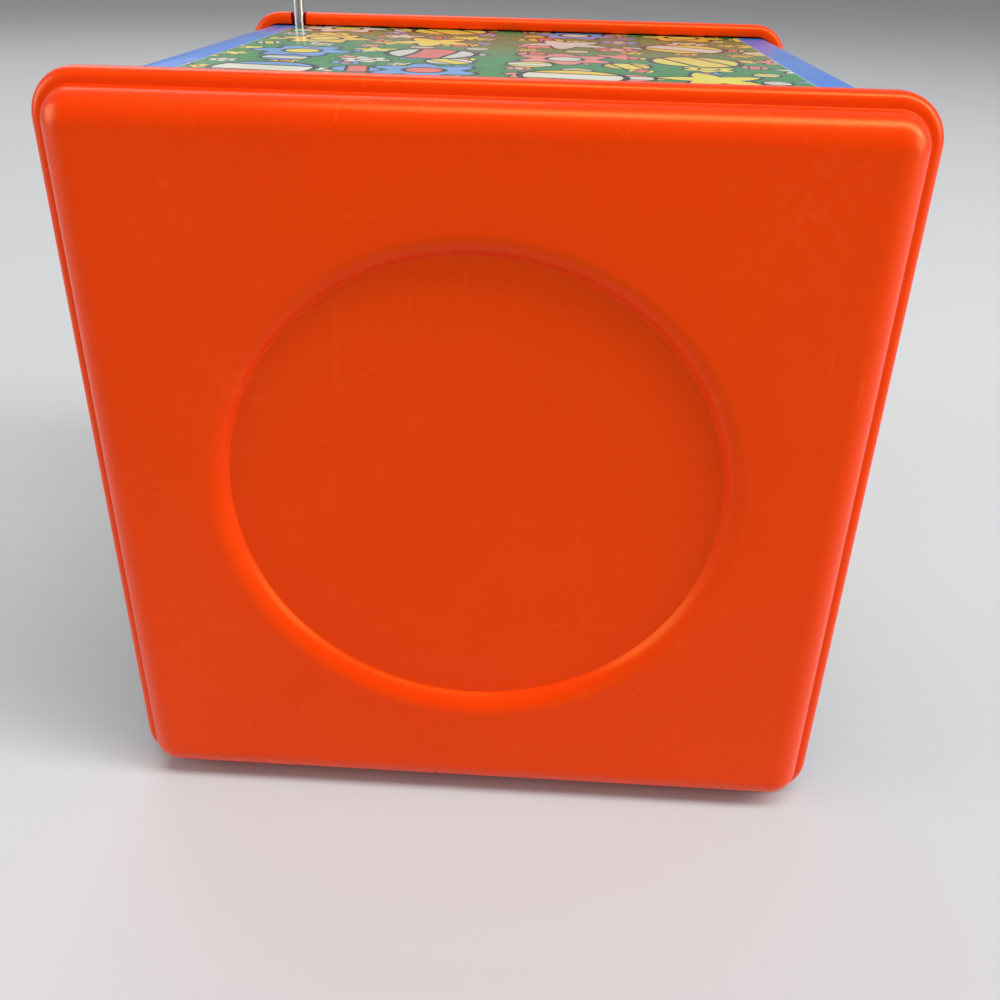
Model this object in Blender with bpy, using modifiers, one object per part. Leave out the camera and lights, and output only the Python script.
# Wind-up pop-up toy box: a square moulded base cap and top frame on a printed sheet body,
# a hinged lid held by a latch, a crank that drives a small comb movement through two pairs
# of gears, and a puppet on a coil spring inside.
# Lengths are in metres. The box stands on its base cap, its front faces -Y and its crank
# comes out of the +X side.

from math import atan, cos, pi, radians, sin, sqrt

import bmesh
import bpy
from mathutils import Matrix, Vector

# Clearances and shared sizes
GAP = 0.0003                    # between pieces that touch
RUN_GAP = 0.0006                # between a piece that turns and what stands beside it
OVERRUN = 0.0010                # how far a cutter passes the face it cuts
SINK = 0.0003                   # how far a joined shape runs into the one that carries it
CORNER_STEPS = 8                # where a square meets a circle
PLAIN_STEPS = 5                 # where squares meet squares only
ROUND_STEPS = 20
SMALL_STEPS = 12

# Printed sheet body
BODY_HALF = 0.0667
BODY_CORNER = 0.0040
BODY_SHEET = 0.0008
BODY_HEIGHT = 0.1307
SEAM_WIDTH = 0.0060
SEAM_FROM_CORNER = 0.0200

# Base cap
CAP_BEAD_REACH = 0.0033         # beyond the printed sheet
CAP_CORNER = 0.0080             # in plan, at the bead
CAP_WALL_REACH = 0.0008
CAP_EDGE_RADIUS = 0.0040
CAP_BEAD_BOTTOM = 0.0049
CAP_RIM_HEIGHT = 0.0096
CAP_FLOOR = 0.0020
CAP_LEDGE_HEIGHT = 0.0050
CAP_LEDGE_WIDTH = 0.0018
RECESS_RADIUS = 0.0446
RECESS_DEPTH = 0.0025
RECESS_LIP_RADIUS = 0.0018
RECESS_DRAFT = 0.0003

# Top frame
FRAME_BEAD_REACH = 0.0031       # beyond the printed sheet
FRAME_CORNER = 0.0085
FRAME_BEAD_DROP = 0.0064        # from the shoulder down to the underside of the bead
FRAME_SHOULDER_REACH = 0.0009
FRAME_CHANNEL_DEPTH = 0.0037
FRAME_SKIRT = 0.0016
FRAME_SKIRT_DROP = 0.0110
SEAT_INSET = 0.0027             # of the raised seat that the lid closes over
SEAT_RISE = 0.0014
SEAT_CHAMFER = 0.0005
DECK = 0.0020
OPENING_INSET_X = 0.0180
OPENING_INSET_Y = 0.0220
OPENING_CORNER = 0.0120
OPENING_BACK_SHIFT = 0.0120

# Lid
LID_SEAT_GAP = 0.0007           # between its wall and the seat
LID_CORNER = 0.0060
LID_WALL = 0.0018
LID_PLATE = 0.0015
LID_BORDER_RISE = 0.0008
LID_BORDER_WIDTH = 0.0085
LID_EDGE_RADIUS = 0.0018
LID_DISC_RADIUS = 0.0445
HINGE_SPREAD = 0.0340           # from the middle to each knuckle
HINGE_KNUCKLE = 0.0140
HINGE_EAR = 0.0040
HINGE_BARREL_RADIUS = 0.0024
HINGE_PIN_RADIUS = 0.0010
HINGE_PIN_HEAD = 0.0008
TAB_FROM_PLATE = 0.0067
TAB_WIDTH = 0.0066
TAB_WALL = 0.0020
TAB_LENGTH = 0.0107
BARB_REACH = 0.0018
BARB_HEIGHT = 0.0023
SLOT_CLEARANCE = 0.0010

# Gears and shafts of the movement, all along X
MODULE = 0.0006
PINION_TEETH = 10
WHEEL_TEETH = 40
ADDENDUM_SHARE = 0.85
DEDENDUM_SHARE = 1.20
BACKLASH = 0.00012
PRESSURE_ANGLE = radians(20)
CRANK_INSET = 0.0097
CRANK_BELOW_SHOULDER = 0.0052
CRANK_WIRE_RADIUS = 0.0015
TRAIN_ANGLE = radians(60)       # of the first pair of gears below the horizontal
AXLE_RADIUS = 0.0010
AXLE_HEAD = 0.0006
DRUM_AXLE_RADIUS = 0.0012
PLATE = 0.0012
PLATES_APART = 0.0340
RIGHT_PLATE_INSET = 0.0067
PLATE_FRONT_INSET = 0.0037
PLATE_DEPTH = 0.0300
PLATE_BOTTOM_INSET = 0.0060
PLATE_BELOW_DRUM = 0.0338
PLATE_TOP_GAP = 0.0006          # under the deck
PLATE_NOTCH = 0.0030
FOOT_WIDTH = 0.0075
FOOT_REACH = 0.0110
FOOT_HOLE_RADIUS = 0.0016
BOSS_RADIUS = 0.0030
BOSS_LENGTH = 0.0051
BOSS_HOLE_RADIUS = 0.0013
BOSS_ROOF = 0.0010
SCREW_SHANK_RADIUS = 0.0010
SCREW_HEAD_RADIUS = 0.0022
SCREW_HEAD = 0.0014
DRUM_RADIUS = 0.0070
DRUM_LENGTH = 0.0190
DRUM_FROM_PLATE = 0.0030
DRUM_GEAR_GAP = 0.0014
WHEEL_WIDTH = 0.0020
PINION_OVERLAP = 0.0008         # how far a pinion passes its wheel at each side
STAGE_GAP = 0.0022
NUB_HEIGHT = 0.0008
NUB_WIDTH = 0.0005
NUBS_PER_TRACK = 3
TRACKS = 15
COMB_PLATE = 0.0008
COMB_FOOT = 0.0090
COMB_SIDE = 0.0008
TOOTH_SHARE = 0.62              # of each tooth's pitch that is steel
TOOTH_LENGTHS = (0.0095, 0.0150)
BLOCK_DEPTH = 0.0058
BLOCK_SCREW_SPREAD = 0.0110
CAM_WIDTH = 0.0018
CAM_HUB_RADIUS = 0.0036
CAM_HALF_ANGLE = radians(16)
CAM_REST_ANGLE = radians(118)
CLIP_RADIUS = 0.0030
CLIP_WIDTH = 0.0008
BUSH_RADIUS = 0.0025
BUSH_FLANGE_RADIUS = 0.0034
BUSH_FLANGE = 0.0010

# Latch that holds the lid's tab
LATCH_WIDTH = 0.0026
LATCH_HOOK_BITE = 0.0015
LATCH_HOOK_HEIGHT = 0.0025
LATCH_ARM = 0.0032
LATCH_BOSS_RADIUS = 0.0034
LATCH_PIVOT_FROM_DRUM = (-0.0045, 0.0135)
LATCH_TAIL = 0.0020
LATCH_TAIL_DROP = 0.0035        # below the drum's axis
STUD_RADIUS = 0.0015
STUD_HEAD_RADIUS = 0.0026
STUD_HEAD = 0.0008
LATCH_SPRING_WIRE = 0.0003
LATCH_SPRING_RADIUS = 0.0024
LATCH_SPRING_PITCH = 0.0012
LATCH_SPRING_TURNS = 3
LATCH_SPRING_LEG = 0.0085
LATCH_SPRING_SHORT_LEG = 0.0046
LATCH_SPRING_HOLE_RADIUS = 0.0016

# Crank outside the box
CRANK_STAND_OFF = 0.0163        # from the printed sheet to the middle of the arm
CRANK_ARM = 0.0380
CRANK_BEND = 0.0050
CRANK_HANDLE = 0.0290
KNOB_LENGTH = 0.0210
KNOB_RADIUS = 0.0078
KNOB_WAIST_RADIUS = 0.0062
KNOB_EDGE = 0.0020
WASHER_RADIUS = 0.0036
WASHER = 0.0008
END_CAP_RADIUS = 0.0034
END_CAP = 0.0026
NOTCH_WIDTH = 0.0040            # of the slot in the frame that the crank comes through

# Puppet and its spring
PUPPET_BACK_SHIFT = 0.0100
SEAT_RING_RADIUS = 0.0280
SEAT_RING_HOLE_RADIUS = 0.0100
SEAT_RING_PLATE = 0.0020
SEAT_RING_STAND = 0.0032
SEAT_RING_WALL = 0.0014
SPRING_RADIUS = 0.0240
SPRING_WIRE = 0.0006
SPRING_TURNS = 8
SPRING_STEPS = 12               # to a turn
PUPPET_REST = 0.03175           # of the body's height, less the spring and the head
SPRING_UPSTAND = 0.0030
PLUG_RADIUS = 0.0255
PLUG_PLATE = 0.0020
NECK_RADIUS = 0.0090
NECK_HEIGHT = 0.0165
COSTUME_CLOTH = 0.0013
COSTUME_FOLDS = 4
COSTUME_FOLD_DEPTH = 0.0030
COSTUME_HEM_ROOM = 0.0022       # between the spring's seat and the deepest fold
COSTUME_SHOULDER_RADIUS = 0.0300
COSTUME_NECK_HEIGHT = 0.0050
RUFFLE_RADIUS = 0.0340
RUFFLE_CLOTH = 0.0012
RUFFLE_WAVE = 0.0017
RUFFLE_WAVES = 8
RUFFLE_RISE = 0.0030
HEAD_RADIUS = 0.0265
HEAD_STRETCH_SHARE = 1.04
CHEEK_SHARE = 0.05
EAR_RADIUS = 0.0052
NOSE_RADIUS = 0.0046
HAIR_RADIUS = 0.0085
HAT_BRIM_RADIUS_SHARE = 0.849
HAT_BRIM = 0.0018
HAT_RADIUS_SHARE = 0.649
HAT_HEIGHT_SHARE = 0.415
HAT_BASE_SHARE = 0.74           # of the head's half height
POMPOM_RADIUS = 0.0029
ARM_RADIUS = 0.0045
ARM_LENGTH_SHARE = 0.392        # of the pressed spring's height
ARM_LEAN = 0.0085
HAND_RADIUS = 0.0056

# Levels and places that follow from the sizes above
CAP_HALF = BODY_HALF + CAP_BEAD_REACH
CAP_WALL_HALF = BODY_HALF + CAP_WALL_REACH
FRAME_HALF = BODY_HALF + FRAME_BEAD_REACH
FRAME_SHOULDER_HALF = BODY_HALF + FRAME_SHOULDER_REACH
SEAT_HALF = BODY_HALF - SEAT_INSET
LID_HALF = SEAT_HALF + LID_SEAT_GAP + LID_WALL
OPENING_HALF_X = SEAT_HALF - OPENING_INSET_X
OPENING_HALF_Y = SEAT_HALF - OPENING_INSET_Y
CRANK_Y = CRANK_INSET - BODY_HALF
RIGHT_PLATE_X = BODY_HALF - RIGHT_PLATE_INSET
LEFT_PLATE_X = RIGHT_PLATE_X - PLATES_APART
PLATE_FRONT = BODY_HALF - PLATE_FRONT_INSET
PLATE_BACK = PLATE_FRONT - PLATE_DEPTH
TAB_X = LEFT_PLATE_X - TAB_FROM_PLATE
HEAD_HALF_HEIGHT = HEAD_RADIUS * HEAD_STRETCH_SHARE
HAT_BRIM_RADIUS = HEAD_RADIUS * HAT_BRIM_RADIUS_SHARE
HAT_RADIUS = HEAD_RADIUS * HAT_RADIUS_SHARE
HAT_HEIGHT = HEAD_RADIUS * HAT_HEIGHT_SHARE
HEAD_TO_HAT = HEAD_HALF_HEIGHT * (1 + HAT_BASE_SHARE)
SPRING_HEIGHT = BODY_HEIGHT - HEAD_TO_HAT - PUPPET_REST
COSTUME_HEM_RADIUS = SEAT_RING_RADIUS + COSTUME_HEM_ROOM + COSTUME_FOLD_DEPTH + COSTUME_CLOTH
ARM_LENGTH = SPRING_HEIGHT * ARM_LENGTH_SHARE
BODY_BOTTOM = CAP_LEDGE_HEIGHT + GAP
BODY_TOP = BODY_BOTTOM + BODY_HEIGHT
CHANNEL_TOP = BODY_TOP + GAP
SHOULDER_Z = CHANNEL_TOP - FRAME_CHANNEL_DEPTH + FRAME_BEAD_DROP
SEAT_TOP = SHOULDER_Z + SEAT_RISE
DECK_UNDER = SEAT_TOP - DECK
LID_UNDER = SEAT_TOP + GAP
LID_FIELD = LID_UNDER + LID_PLATE
LID_TOP = LID_FIELD + LID_BORDER_RISE
LID_SKIRT_BOTTOM = SHOULDER_Z + GAP
HINGE_Y = LID_HALF + HINGE_BARREL_RADIUS + GAP
HINGE_Z = LID_SKIRT_BOTTOM + HINGE_BARREL_RADIUS
CRANK_Z = SHOULDER_Z - CRANK_BELOW_SHOULDER
GEAR_CENTRES = (PINION_TEETH + WHEEL_TEETH) * MODULE / 2
MIDDLE_Y = CRANK_Y + GEAR_CENTRES * cos(TRAIN_ANGLE)
MIDDLE_Z = CRANK_Z - GEAR_CENTRES * sin(TRAIN_ANGLE)
DRUM_Y = MIDDLE_Y
DRUM_Z = MIDDLE_Z - GEAR_CENTRES
PLATE_BOTTOM = DRUM_Z - PLATE_BELOW_DRUM
DRUM_X = LEFT_PLATE_X + PLATE + DRUM_FROM_PLATE
DRUM_GEAR_X = DRUM_X + DRUM_LENGTH + DRUM_GEAR_GAP
MIDDLE_WHEEL_X = DRUM_GEAR_X + WHEEL_WIDTH + PINION_OVERLAP + STAGE_GAP
LATCH_Y = DRUM_Y + LATCH_PIVOT_FROM_DRUM[0]
LATCH_Z = DRUM_Z + LATCH_PIVOT_FROM_DRUM[1]
ARM_X = BODY_HALF + CRANK_STAND_OFF
HANDLE_Z = CRANK_Z - CRANK_ARM
HANDLE_END_X = ARM_X + CRANK_HANDLE
FRAME_SKIRT_HALF = BODY_HALF - BODY_SHEET - GAP
TAB_BACK_Y = -(SEAT_HALF - 3 * TAB_WALL)
TAB_BOTTOM = LID_UNDER - TAB_LENGTH
BARB_TOP = TAB_BOTTOM + BARB_HEIGHT
DISC_TOP = CAP_FLOOR + RECESS_DEPTH
SEAT_RING_BOTTOM = DISC_TOP + SEAT_RING_STAND + GAP
SEAT_RING_TOP = SEAT_RING_BOTTOM + SEAT_RING_PLATE
SPRING_BOTTOM = SEAT_RING_TOP + GAP
SPRING_TOP = SPRING_BOTTOM + SPRING_HEIGHT
PLUG_BOTTOM = SPRING_TOP + GAP
PLUG_TOP = PLUG_BOTTOM + PLUG_PLATE
COSTUME_TOP = PLUG_TOP + GAP + COSTUME_CLOTH + COSTUME_NECK_HEIGHT
RUFFLE_Z = PLUG_TOP + GAP + 2 * COSTUME_CLOTH + RUFFLE_WAVE
HEAD_Z = COSTUME_TOP + GAP + HEAD_HALF_HEIGHT

# The toy's own middle is moved so that the origin is under the middle of its outer box
REACH_X = HANDLE_END_X + GAP + END_CAP / 2
REACH_BACK = HINGE_Y + HINGE_BARREL_RADIUS
SHIFT_X = (CAP_HALF - REACH_X) / 2
SHIFT_Y = (CAP_HALF - REACH_BACK) / 2


def clear_scene():
    for old in list(bpy.data.objects):
        bpy.data.objects.remove(old)


clear_scene()
TOY = bpy.data.collections.new("jack_in_the_box")
CUTTERS = bpy.data.collections.new("cutters")
bpy.context.scene.collection.children.link(TOY)
bpy.context.scene.collection.children.link(CUTTERS)


def pivot(name, location, parent=None):
    """An empty that carries the pieces of one moving body."""
    empty = bpy.data.objects.new(name, None)
    empty.empty_display_size = GEAR_CENTRES
    TOY.objects.link(empty)
    empty.location = location
    empty.parent = parent
    return empty


def finish(colour, roughness, metallic=0.0):
    """A plain finish, named by the piece that first wears it."""
    return {"colour": colour, "roughness": roughness, "metallic": metallic}


ORANGE = finish((0.88, 0.075, 0.004), 0.32)
PRINT = finish((0.085, 0.30, 0.115), 0.20)
STEEL = finish((0.56, 0.56, 0.55), 0.28, 1.0)
SPRING_STEEL = finish((0.36, 0.36, 0.37), 0.34, 1.0)
BRASS = finish((0.78, 0.58, 0.22), 0.30, 1.0)
WHITE = finish((0.80, 0.79, 0.74), 0.40)
YELLOW = finish((0.90, 0.62, 0.03), 0.35)
BLUE = finish((0.07, 0.17, 0.62), 0.80)
RED = finish((0.70, 0.02, 0.02), 0.45)
SKIN = finish((0.83, 0.50, 0.36), 0.45)
HAIR = finish((0.80, 0.22, 0.02), 0.95)
FELT = finish((0.05, 0.33, 0.16), 0.95)


def wear(obj, look):
    """Gives a piece a material of its own."""
    material = bpy.data.materials.new(obj.name)
    material.use_nodes = True
    shader = material.node_tree.nodes["Principled BSDF"]
    shader.inputs["Base Color"].default_value = (*look["colour"], 1)
    shader.inputs["Roughness"].default_value = look["roughness"]
    shader.inputs["Metallic"].default_value = look["metallic"]
    material.diffuse_color = (*look["colour"], 1)
    obj.data.materials.clear()
    obj.data.materials.append(material)


def piece(name, mesh, look, parent, smooth=True):
    """Puts a mesh made in the toy's own frame under the empty that moves it."""
    obj = bpy.data.objects.new(name, mesh)
    TOY.objects.link(obj)
    obj.parent = parent
    bpy.context.view_layer.update()
    obj.matrix_world = ROOT.matrix_world
    if smooth:
        mesh.shade_smooth()
        mesh.set_sharp_from_angle(angle=radians(35))
    wear(obj, look)
    return obj


def to_mesh(bm, name):
    bmesh.ops.remove_doubles(bm, verts=bm.verts, dist=GAP / 300)
    bmesh.ops.dissolve_degenerate(bm, edges=bm.edges, dist=GAP / 300)
    bmesh.ops.recalc_face_normals(bm, faces=bm.faces)
    mesh = bpy.data.meshes.new(name)
    bm.to_mesh(mesh)
    bm.free()
    return mesh


def rounded(half_x, half_y, corner, z, middle=(0, 0), steps=CORNER_STEPS):
    """Points round a rectangle with round corners. With corner equal to half it is a circle."""
    points = []
    for quarter in range(4):
        side_x = 1 if quarter in (0, 3) else -1
        side_y = 1 if quarter in (0, 1) else -1
        for step in range(steps + 1):
            angle = (quarter + step / steps) * pi / 2
            x = middle[0] + side_x * (half_x - corner) + corner * cos(angle)
            y = middle[1] + side_y * (half_y - corner) + corner * sin(angle)
            points.append((x, y, z))
    return points


def square(half, corner, z):
    return rounded(half, half, corner, z)


def plain(half, corner, z):
    return rounded(half, half, corner, z, steps=PLAIN_STEPS)


def circle(radius, z):
    return rounded(radius, radius, radius, z)


def loft(name, rings, closed=False):
    """Joins rings of as many points into one skin, shut by a face at each end or into a loop."""
    bm = bmesh.new()
    rows = [[bm.verts.new(point) for point in ring] for ring in rings]
    pairs = list(zip(rows, rows[1:]))
    if closed:
        pairs.append((rows[-1], rows[0]))
    for lower, upper in pairs:
        for i in range(len(lower)):
            j = (i + 1) % len(lower)
            bm.faces.new((lower[i], lower[j], upper[j], upper[i]))
    if not closed:
        bm.faces.new(rows[0])
        bm.faces.new(rows[-1])
    return to_mesh(bm, name)


def arc(centre, radius, start, end, steps):
    """Points on an arc in a plane, as pairs."""
    points = []
    for step in range(steps + 1):
        angle = start + (end - start) * step / steps
        points.append((centre[0] + radius * cos(angle), centre[1] + radius * sin(angle)))
    return points


def mesh_of(obj):
    """The evaluated mesh of a helper in the toy's frame, welded, with the helper removed."""
    bpy.context.view_layer.update()
    graph = bpy.context.evaluated_depsgraph_get()
    mesh = bpy.data.meshes.new_from_object(obj.evaluated_get(graph))
    mesh.transform(obj.matrix_world)
    bpy.data.objects.remove(obj)
    bm = bmesh.new()
    bm.from_mesh(mesh)
    bmesh.ops.remove_doubles(bm, verts=bm.verts, dist=GAP / 300)
    bmesh.ops.recalc_face_normals(bm, faces=bm.faces)
    bm.to_mesh(mesh)
    bm.free()
    return mesh


ACROSS = Matrix(((0, 0, 1, 0), (1, 0, 0, 0), (0, 1, 0, 0), (0, 0, 0, 1)))
BACKWARD = Matrix(((1, 0, 0, 0), (0, 0, 1, 0), (0, 1, 0, 0), (0, 0, 0, 1)))


def plate(name, outlines, start, end, axis=ACROSS):
    """A flat outline with its holes, given in the plane across an axis, thick from start to end."""
    curve = bpy.data.curves.new(name, "CURVE")
    curve.dimensions = "2D"
    curve.fill_mode = "BOTH"
    curve.extrude = (end - start) / 2
    for outline in outlines:
        spline = curve.splines.new("POLY")
        spline.points.add(len(outline) - 1)
        for point, (u, v) in zip(spline.points, outline):
            point.co = (u, v, 0, 1)
        spline.use_cyclic_u = True
    obj = bpy.data.objects.new(name, curve)
    CUTTERS.objects.link(obj)
    obj.matrix_world = axis @ Matrix.Translation((0, 0, (start + end) / 2))
    return mesh_of(obj)


def turned(name, profile, place, axis=None, steps=ROUND_STEPS):
    """A profile of (radius, height) pairs turned about a line through place."""
    mesh = bpy.data.meshes.new(name)
    edges = [(i, i + 1) for i in range(len(profile) - 1)]
    if max(profile[0][0], profile[-1][0]) > GAP / 100:
        edges.append((len(profile) - 1, 0))
    mesh.from_pydata([(r, 0, h) for r, h in profile], edges, [])
    obj = bpy.data.objects.new(name, mesh)
    CUTTERS.objects.link(obj)
    screw = obj.modifiers.new("turn", "SCREW")
    screw.steps = steps
    screw.render_steps = steps
    screw.use_merge_vertices = True
    screw.merge_threshold = 0.00001
    turn = Vector((0, 0, 1)).rotation_difference(Vector(axis or (0, 0, 1)))
    obj.matrix_world = Matrix.Translation(place) @ turn.to_matrix().to_4x4()
    return mesh_of(obj)


def rod(name, radius, start, end, steps=ROUND_STEPS):
    """A plain round bar from one point to another."""
    span = Vector(end) - Vector(start)
    profile = [(0, span.length), (radius, span.length), (radius, 0), (0, 0)]
    return turned(name, profile, start, span, steps)


def bar(name, low, high):
    """A box from its lowest to its highest corner."""
    bm = bmesh.new()
    bmesh.ops.create_cube(bm, size=1)
    low, high = Vector(low), Vector(high)
    bmesh.ops.scale(bm, vec=high - low, verts=bm.verts)
    bmesh.ops.translate(bm, vec=(low + high) / 2, verts=bm.verts)
    return to_mesh(bm, name)


def ball(name, radius, centre, stretch=(1, 1, 1), across=20, up=12):
    bm = bmesh.new()
    bmesh.ops.create_uvsphere(bm, u_segments=across, v_segments=up, radius=radius)
    bmesh.ops.scale(bm, vec=stretch, verts=bm.verts)
    bmesh.ops.translate(bm, vec=centre, verts=bm.verts)
    return to_mesh(bm, name)


def wire(name, points, radius, resolution=2):
    """A round wire along a list of points."""
    curve = bpy.data.curves.new(name, "CURVE")
    curve.dimensions = "3D"
    curve.bevel_depth = radius
    curve.bevel_resolution = resolution
    curve.use_fill_caps = True
    spline = curve.splines.new("POLY")
    spline.points.add(len(points) - 1)
    for point, place in zip(spline.points, points):
        point.co = (*place, 1)
    obj = bpy.data.objects.new(name, curve)
    CUTTERS.objects.link(obj)
    return mesh_of(obj)


def combine(mesh, others, operation):
    """Cuts meshes from a mesh, or joins them to it, and gives the result."""
    body = bpy.data.objects.new(mesh.name, mesh)
    CUTTERS.objects.link(body)
    helpers = []
    for other in others:
        helper = bpy.data.objects.new(other.name, other)
        helper.hide_render = True
        helper.display_type = "WIRE"
        CUTTERS.objects.link(helper)
        modifier = body.modifiers.new(other.name, "BOOLEAN")
        modifier.operation = operation
        modifier.object = helper
        helpers.append(helper)
    result = mesh_of(body)
    result.name = mesh.name
    for helper in helpers:
        bpy.data.objects.remove(helper)
    return result


def cut(mesh, *others):
    return combine(mesh, others, "DIFFERENCE")


def join(mesh, *others):
    return combine(mesh, others, "UNION")


def bore(radius, y, z, start, end):
    """A cutter for a hole along X that runs past both faces."""
    return rod("bore", radius, (start - OVERRUN, y, z), (end + OVERRUN, y, z))


def ring_hole(radius, y, z, steps=ROUND_STEPS):
    return arc((y, z), radius, 0, 2 * pi * (1 - 1 / steps), steps - 1)


ROOT = pivot("toy", (SHIFT_X, SHIFT_Y, 0))
bpy.context.view_layer.update()
CASE = pivot("case", (0, 0, 0), ROOT)
LID = pivot("lid_axis", (0, HINGE_Y, HINGE_Z), ROOT)
CRANK = pivot("crank_axis", (ARM_X, CRANK_Y, CRANK_Z), ROOT)
KNOB = pivot("knob_axis", (HANDLE_END_X - ARM_X, 0, -CRANK_ARM), CRANK)
MIDDLE = pivot("middle_gear_axis", (MIDDLE_WHEEL_X, MIDDLE_Y, MIDDLE_Z), ROOT)
DRUM = pivot("drum_axis", (DRUM_X, DRUM_Y, DRUM_Z), ROOT)
LATCH = pivot("latch_axis", (TAB_X, LATCH_Y, LATCH_Z), ROOT)
PUPPET = pivot("puppet_slide", (0, PUPPET_BACK_SHIFT, PLUG_BOTTOM), ROOT)


# Base cap: one moulding with a bead round its rim and a round recess underneath
def build_base_cap():
    bead = CAP_HALF - CAP_WALL_HALF
    wall_corner = CAP_CORNER - bead
    inner_half = BODY_HALF + GAP
    inner_corner = BODY_CORNER + GAP
    ledge_half = inner_half - CAP_LEDGE_WIDTH
    ledge_corner = inner_corner - CAP_LEDGE_WIDTH
    lip_top = RECESS_RADIUS + RECESS_LIP_RADIUS
    rings = [circle(RECESS_RADIUS - RECESS_DRAFT, RECESS_DEPTH)]
    for radius, z in arc((lip_top, RECESS_LIP_RADIUS), RECESS_LIP_RADIUS, pi, 1.5 * pi, 4):
        rings.append(circle(radius, z))
    edge_middle = CAP_WALL_HALF - CAP_EDGE_RADIUS
    for half, z in arc((edge_middle, CAP_EDGE_RADIUS), CAP_EDGE_RADIUS, 1.5 * pi, 2 * pi, 5):
        rings.append(square(half, wall_corner - (CAP_WALL_HALF - half), z))
    bead_height = CAP_RIM_HEIGHT - CAP_BEAD_BOTTOM
    shares = ((0, 0), (0.6, 0.02), (0.9, 0.17), (1, 0.4), (1, 0.62), (0.8, 0.88), (0.45, 1))
    for out_share, up_share in shares:
        out = bead * out_share
        z = CAP_BEAD_BOTTOM + bead_height * up_share
        rings.append(square(CAP_WALL_HALF + out, wall_corner + out, z))
    rings.append(square(inner_half, inner_corner, CAP_RIM_HEIGHT))
    rings.append(square(inner_half, inner_corner, CAP_LEDGE_HEIGHT))
    rings.append(square(ledge_half, ledge_corner, CAP_LEDGE_HEIGHT))
    rings.append(square(ledge_half, ledge_corner, 2 * CAP_FLOOR))
    rings.append(square(ledge_half - CAP_FLOOR, ledge_corner, CAP_FLOOR))
    rings.append(circle(lip_top + CAP_FLOOR, CAP_FLOOR))
    rings.append(circle(lip_top, DISC_TOP))
    cap = loft("base_cap", rings)
    stand = SEAT_RING_STAND
    profile = [
        (0, GAP), (BOSS_HOLE_RADIUS, GAP), (BOSS_HOLE_RADIUS, stand), (BOSS_RADIUS, stand),
        (BOSS_RADIUS, -SINK), (0, -SINK),
    ]
    posts = [turned("post", profile, (x, y, DISC_TOP), steps=16) for x, y in seat_screw_places()]
    piece("base_cap", join(cap, *posts), ORANGE, CASE)


def seat_screw_places():
    reach = (SEAT_RING_HOLE_RADIUS + SPRING_RADIUS) / 2
    places = []
    for turn in range(3):
        angle = 2 * pi * turn / 3 + pi / 2
        places.append((reach * cos(angle), PUPPET_BACK_SHIFT + reach * sin(angle)))
    return places


# Body: one printed sheet, folded round and lapped at the back
def build_body_sheet():
    inner_half = BODY_HALF - BODY_SHEET
    inner_corner = BODY_CORNER - BODY_SHEET
    rings = [
        plain(BODY_HALF, BODY_CORNER, BODY_BOTTOM),
        plain(BODY_HALF, BODY_CORNER, BODY_TOP),
        plain(inner_half, inner_corner, BODY_TOP),
        plain(inner_half, inner_corner, BODY_BOTTOM),
    ]
    sheet = loft("body_sheet", rings, closed=True)
    seam_x = inner_half - SEAM_FROM_CORNER
    lap = bar(
        "lap",
        (-seam_x, inner_half - BODY_SHEET, CAP_RIM_HEIGHT),
        (-seam_x + SEAM_WIDTH, inner_half + BODY_SHEET / 2, BODY_TOP - FRAME_SKIRT_DROP),
    )
    start = BODY_HALF - BODY_SHEET - OVERRUN
    slot = crank_slot(start, BODY_HALF + OVERRUN, BODY_TOP + OVERRUN, CRANK_Z)
    piece("body_sheet", cut(join(sheet, lap), slot), PRINT, CASE)


def crank_slot(start, end, far_z, round_z):
    """A cutter along X for a slot round the crank, with one round end."""
    half = NOTCH_WIDTH / 2
    turn = pi if far_z > round_z else 0
    outline = arc((CRANK_Y, round_z), half, turn, turn + pi, 8)
    outline.append((outline[-1][0], far_z))
    outline.append((outline[0][0], far_z))
    return plate("crank_slot", [outline], start, end)


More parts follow.
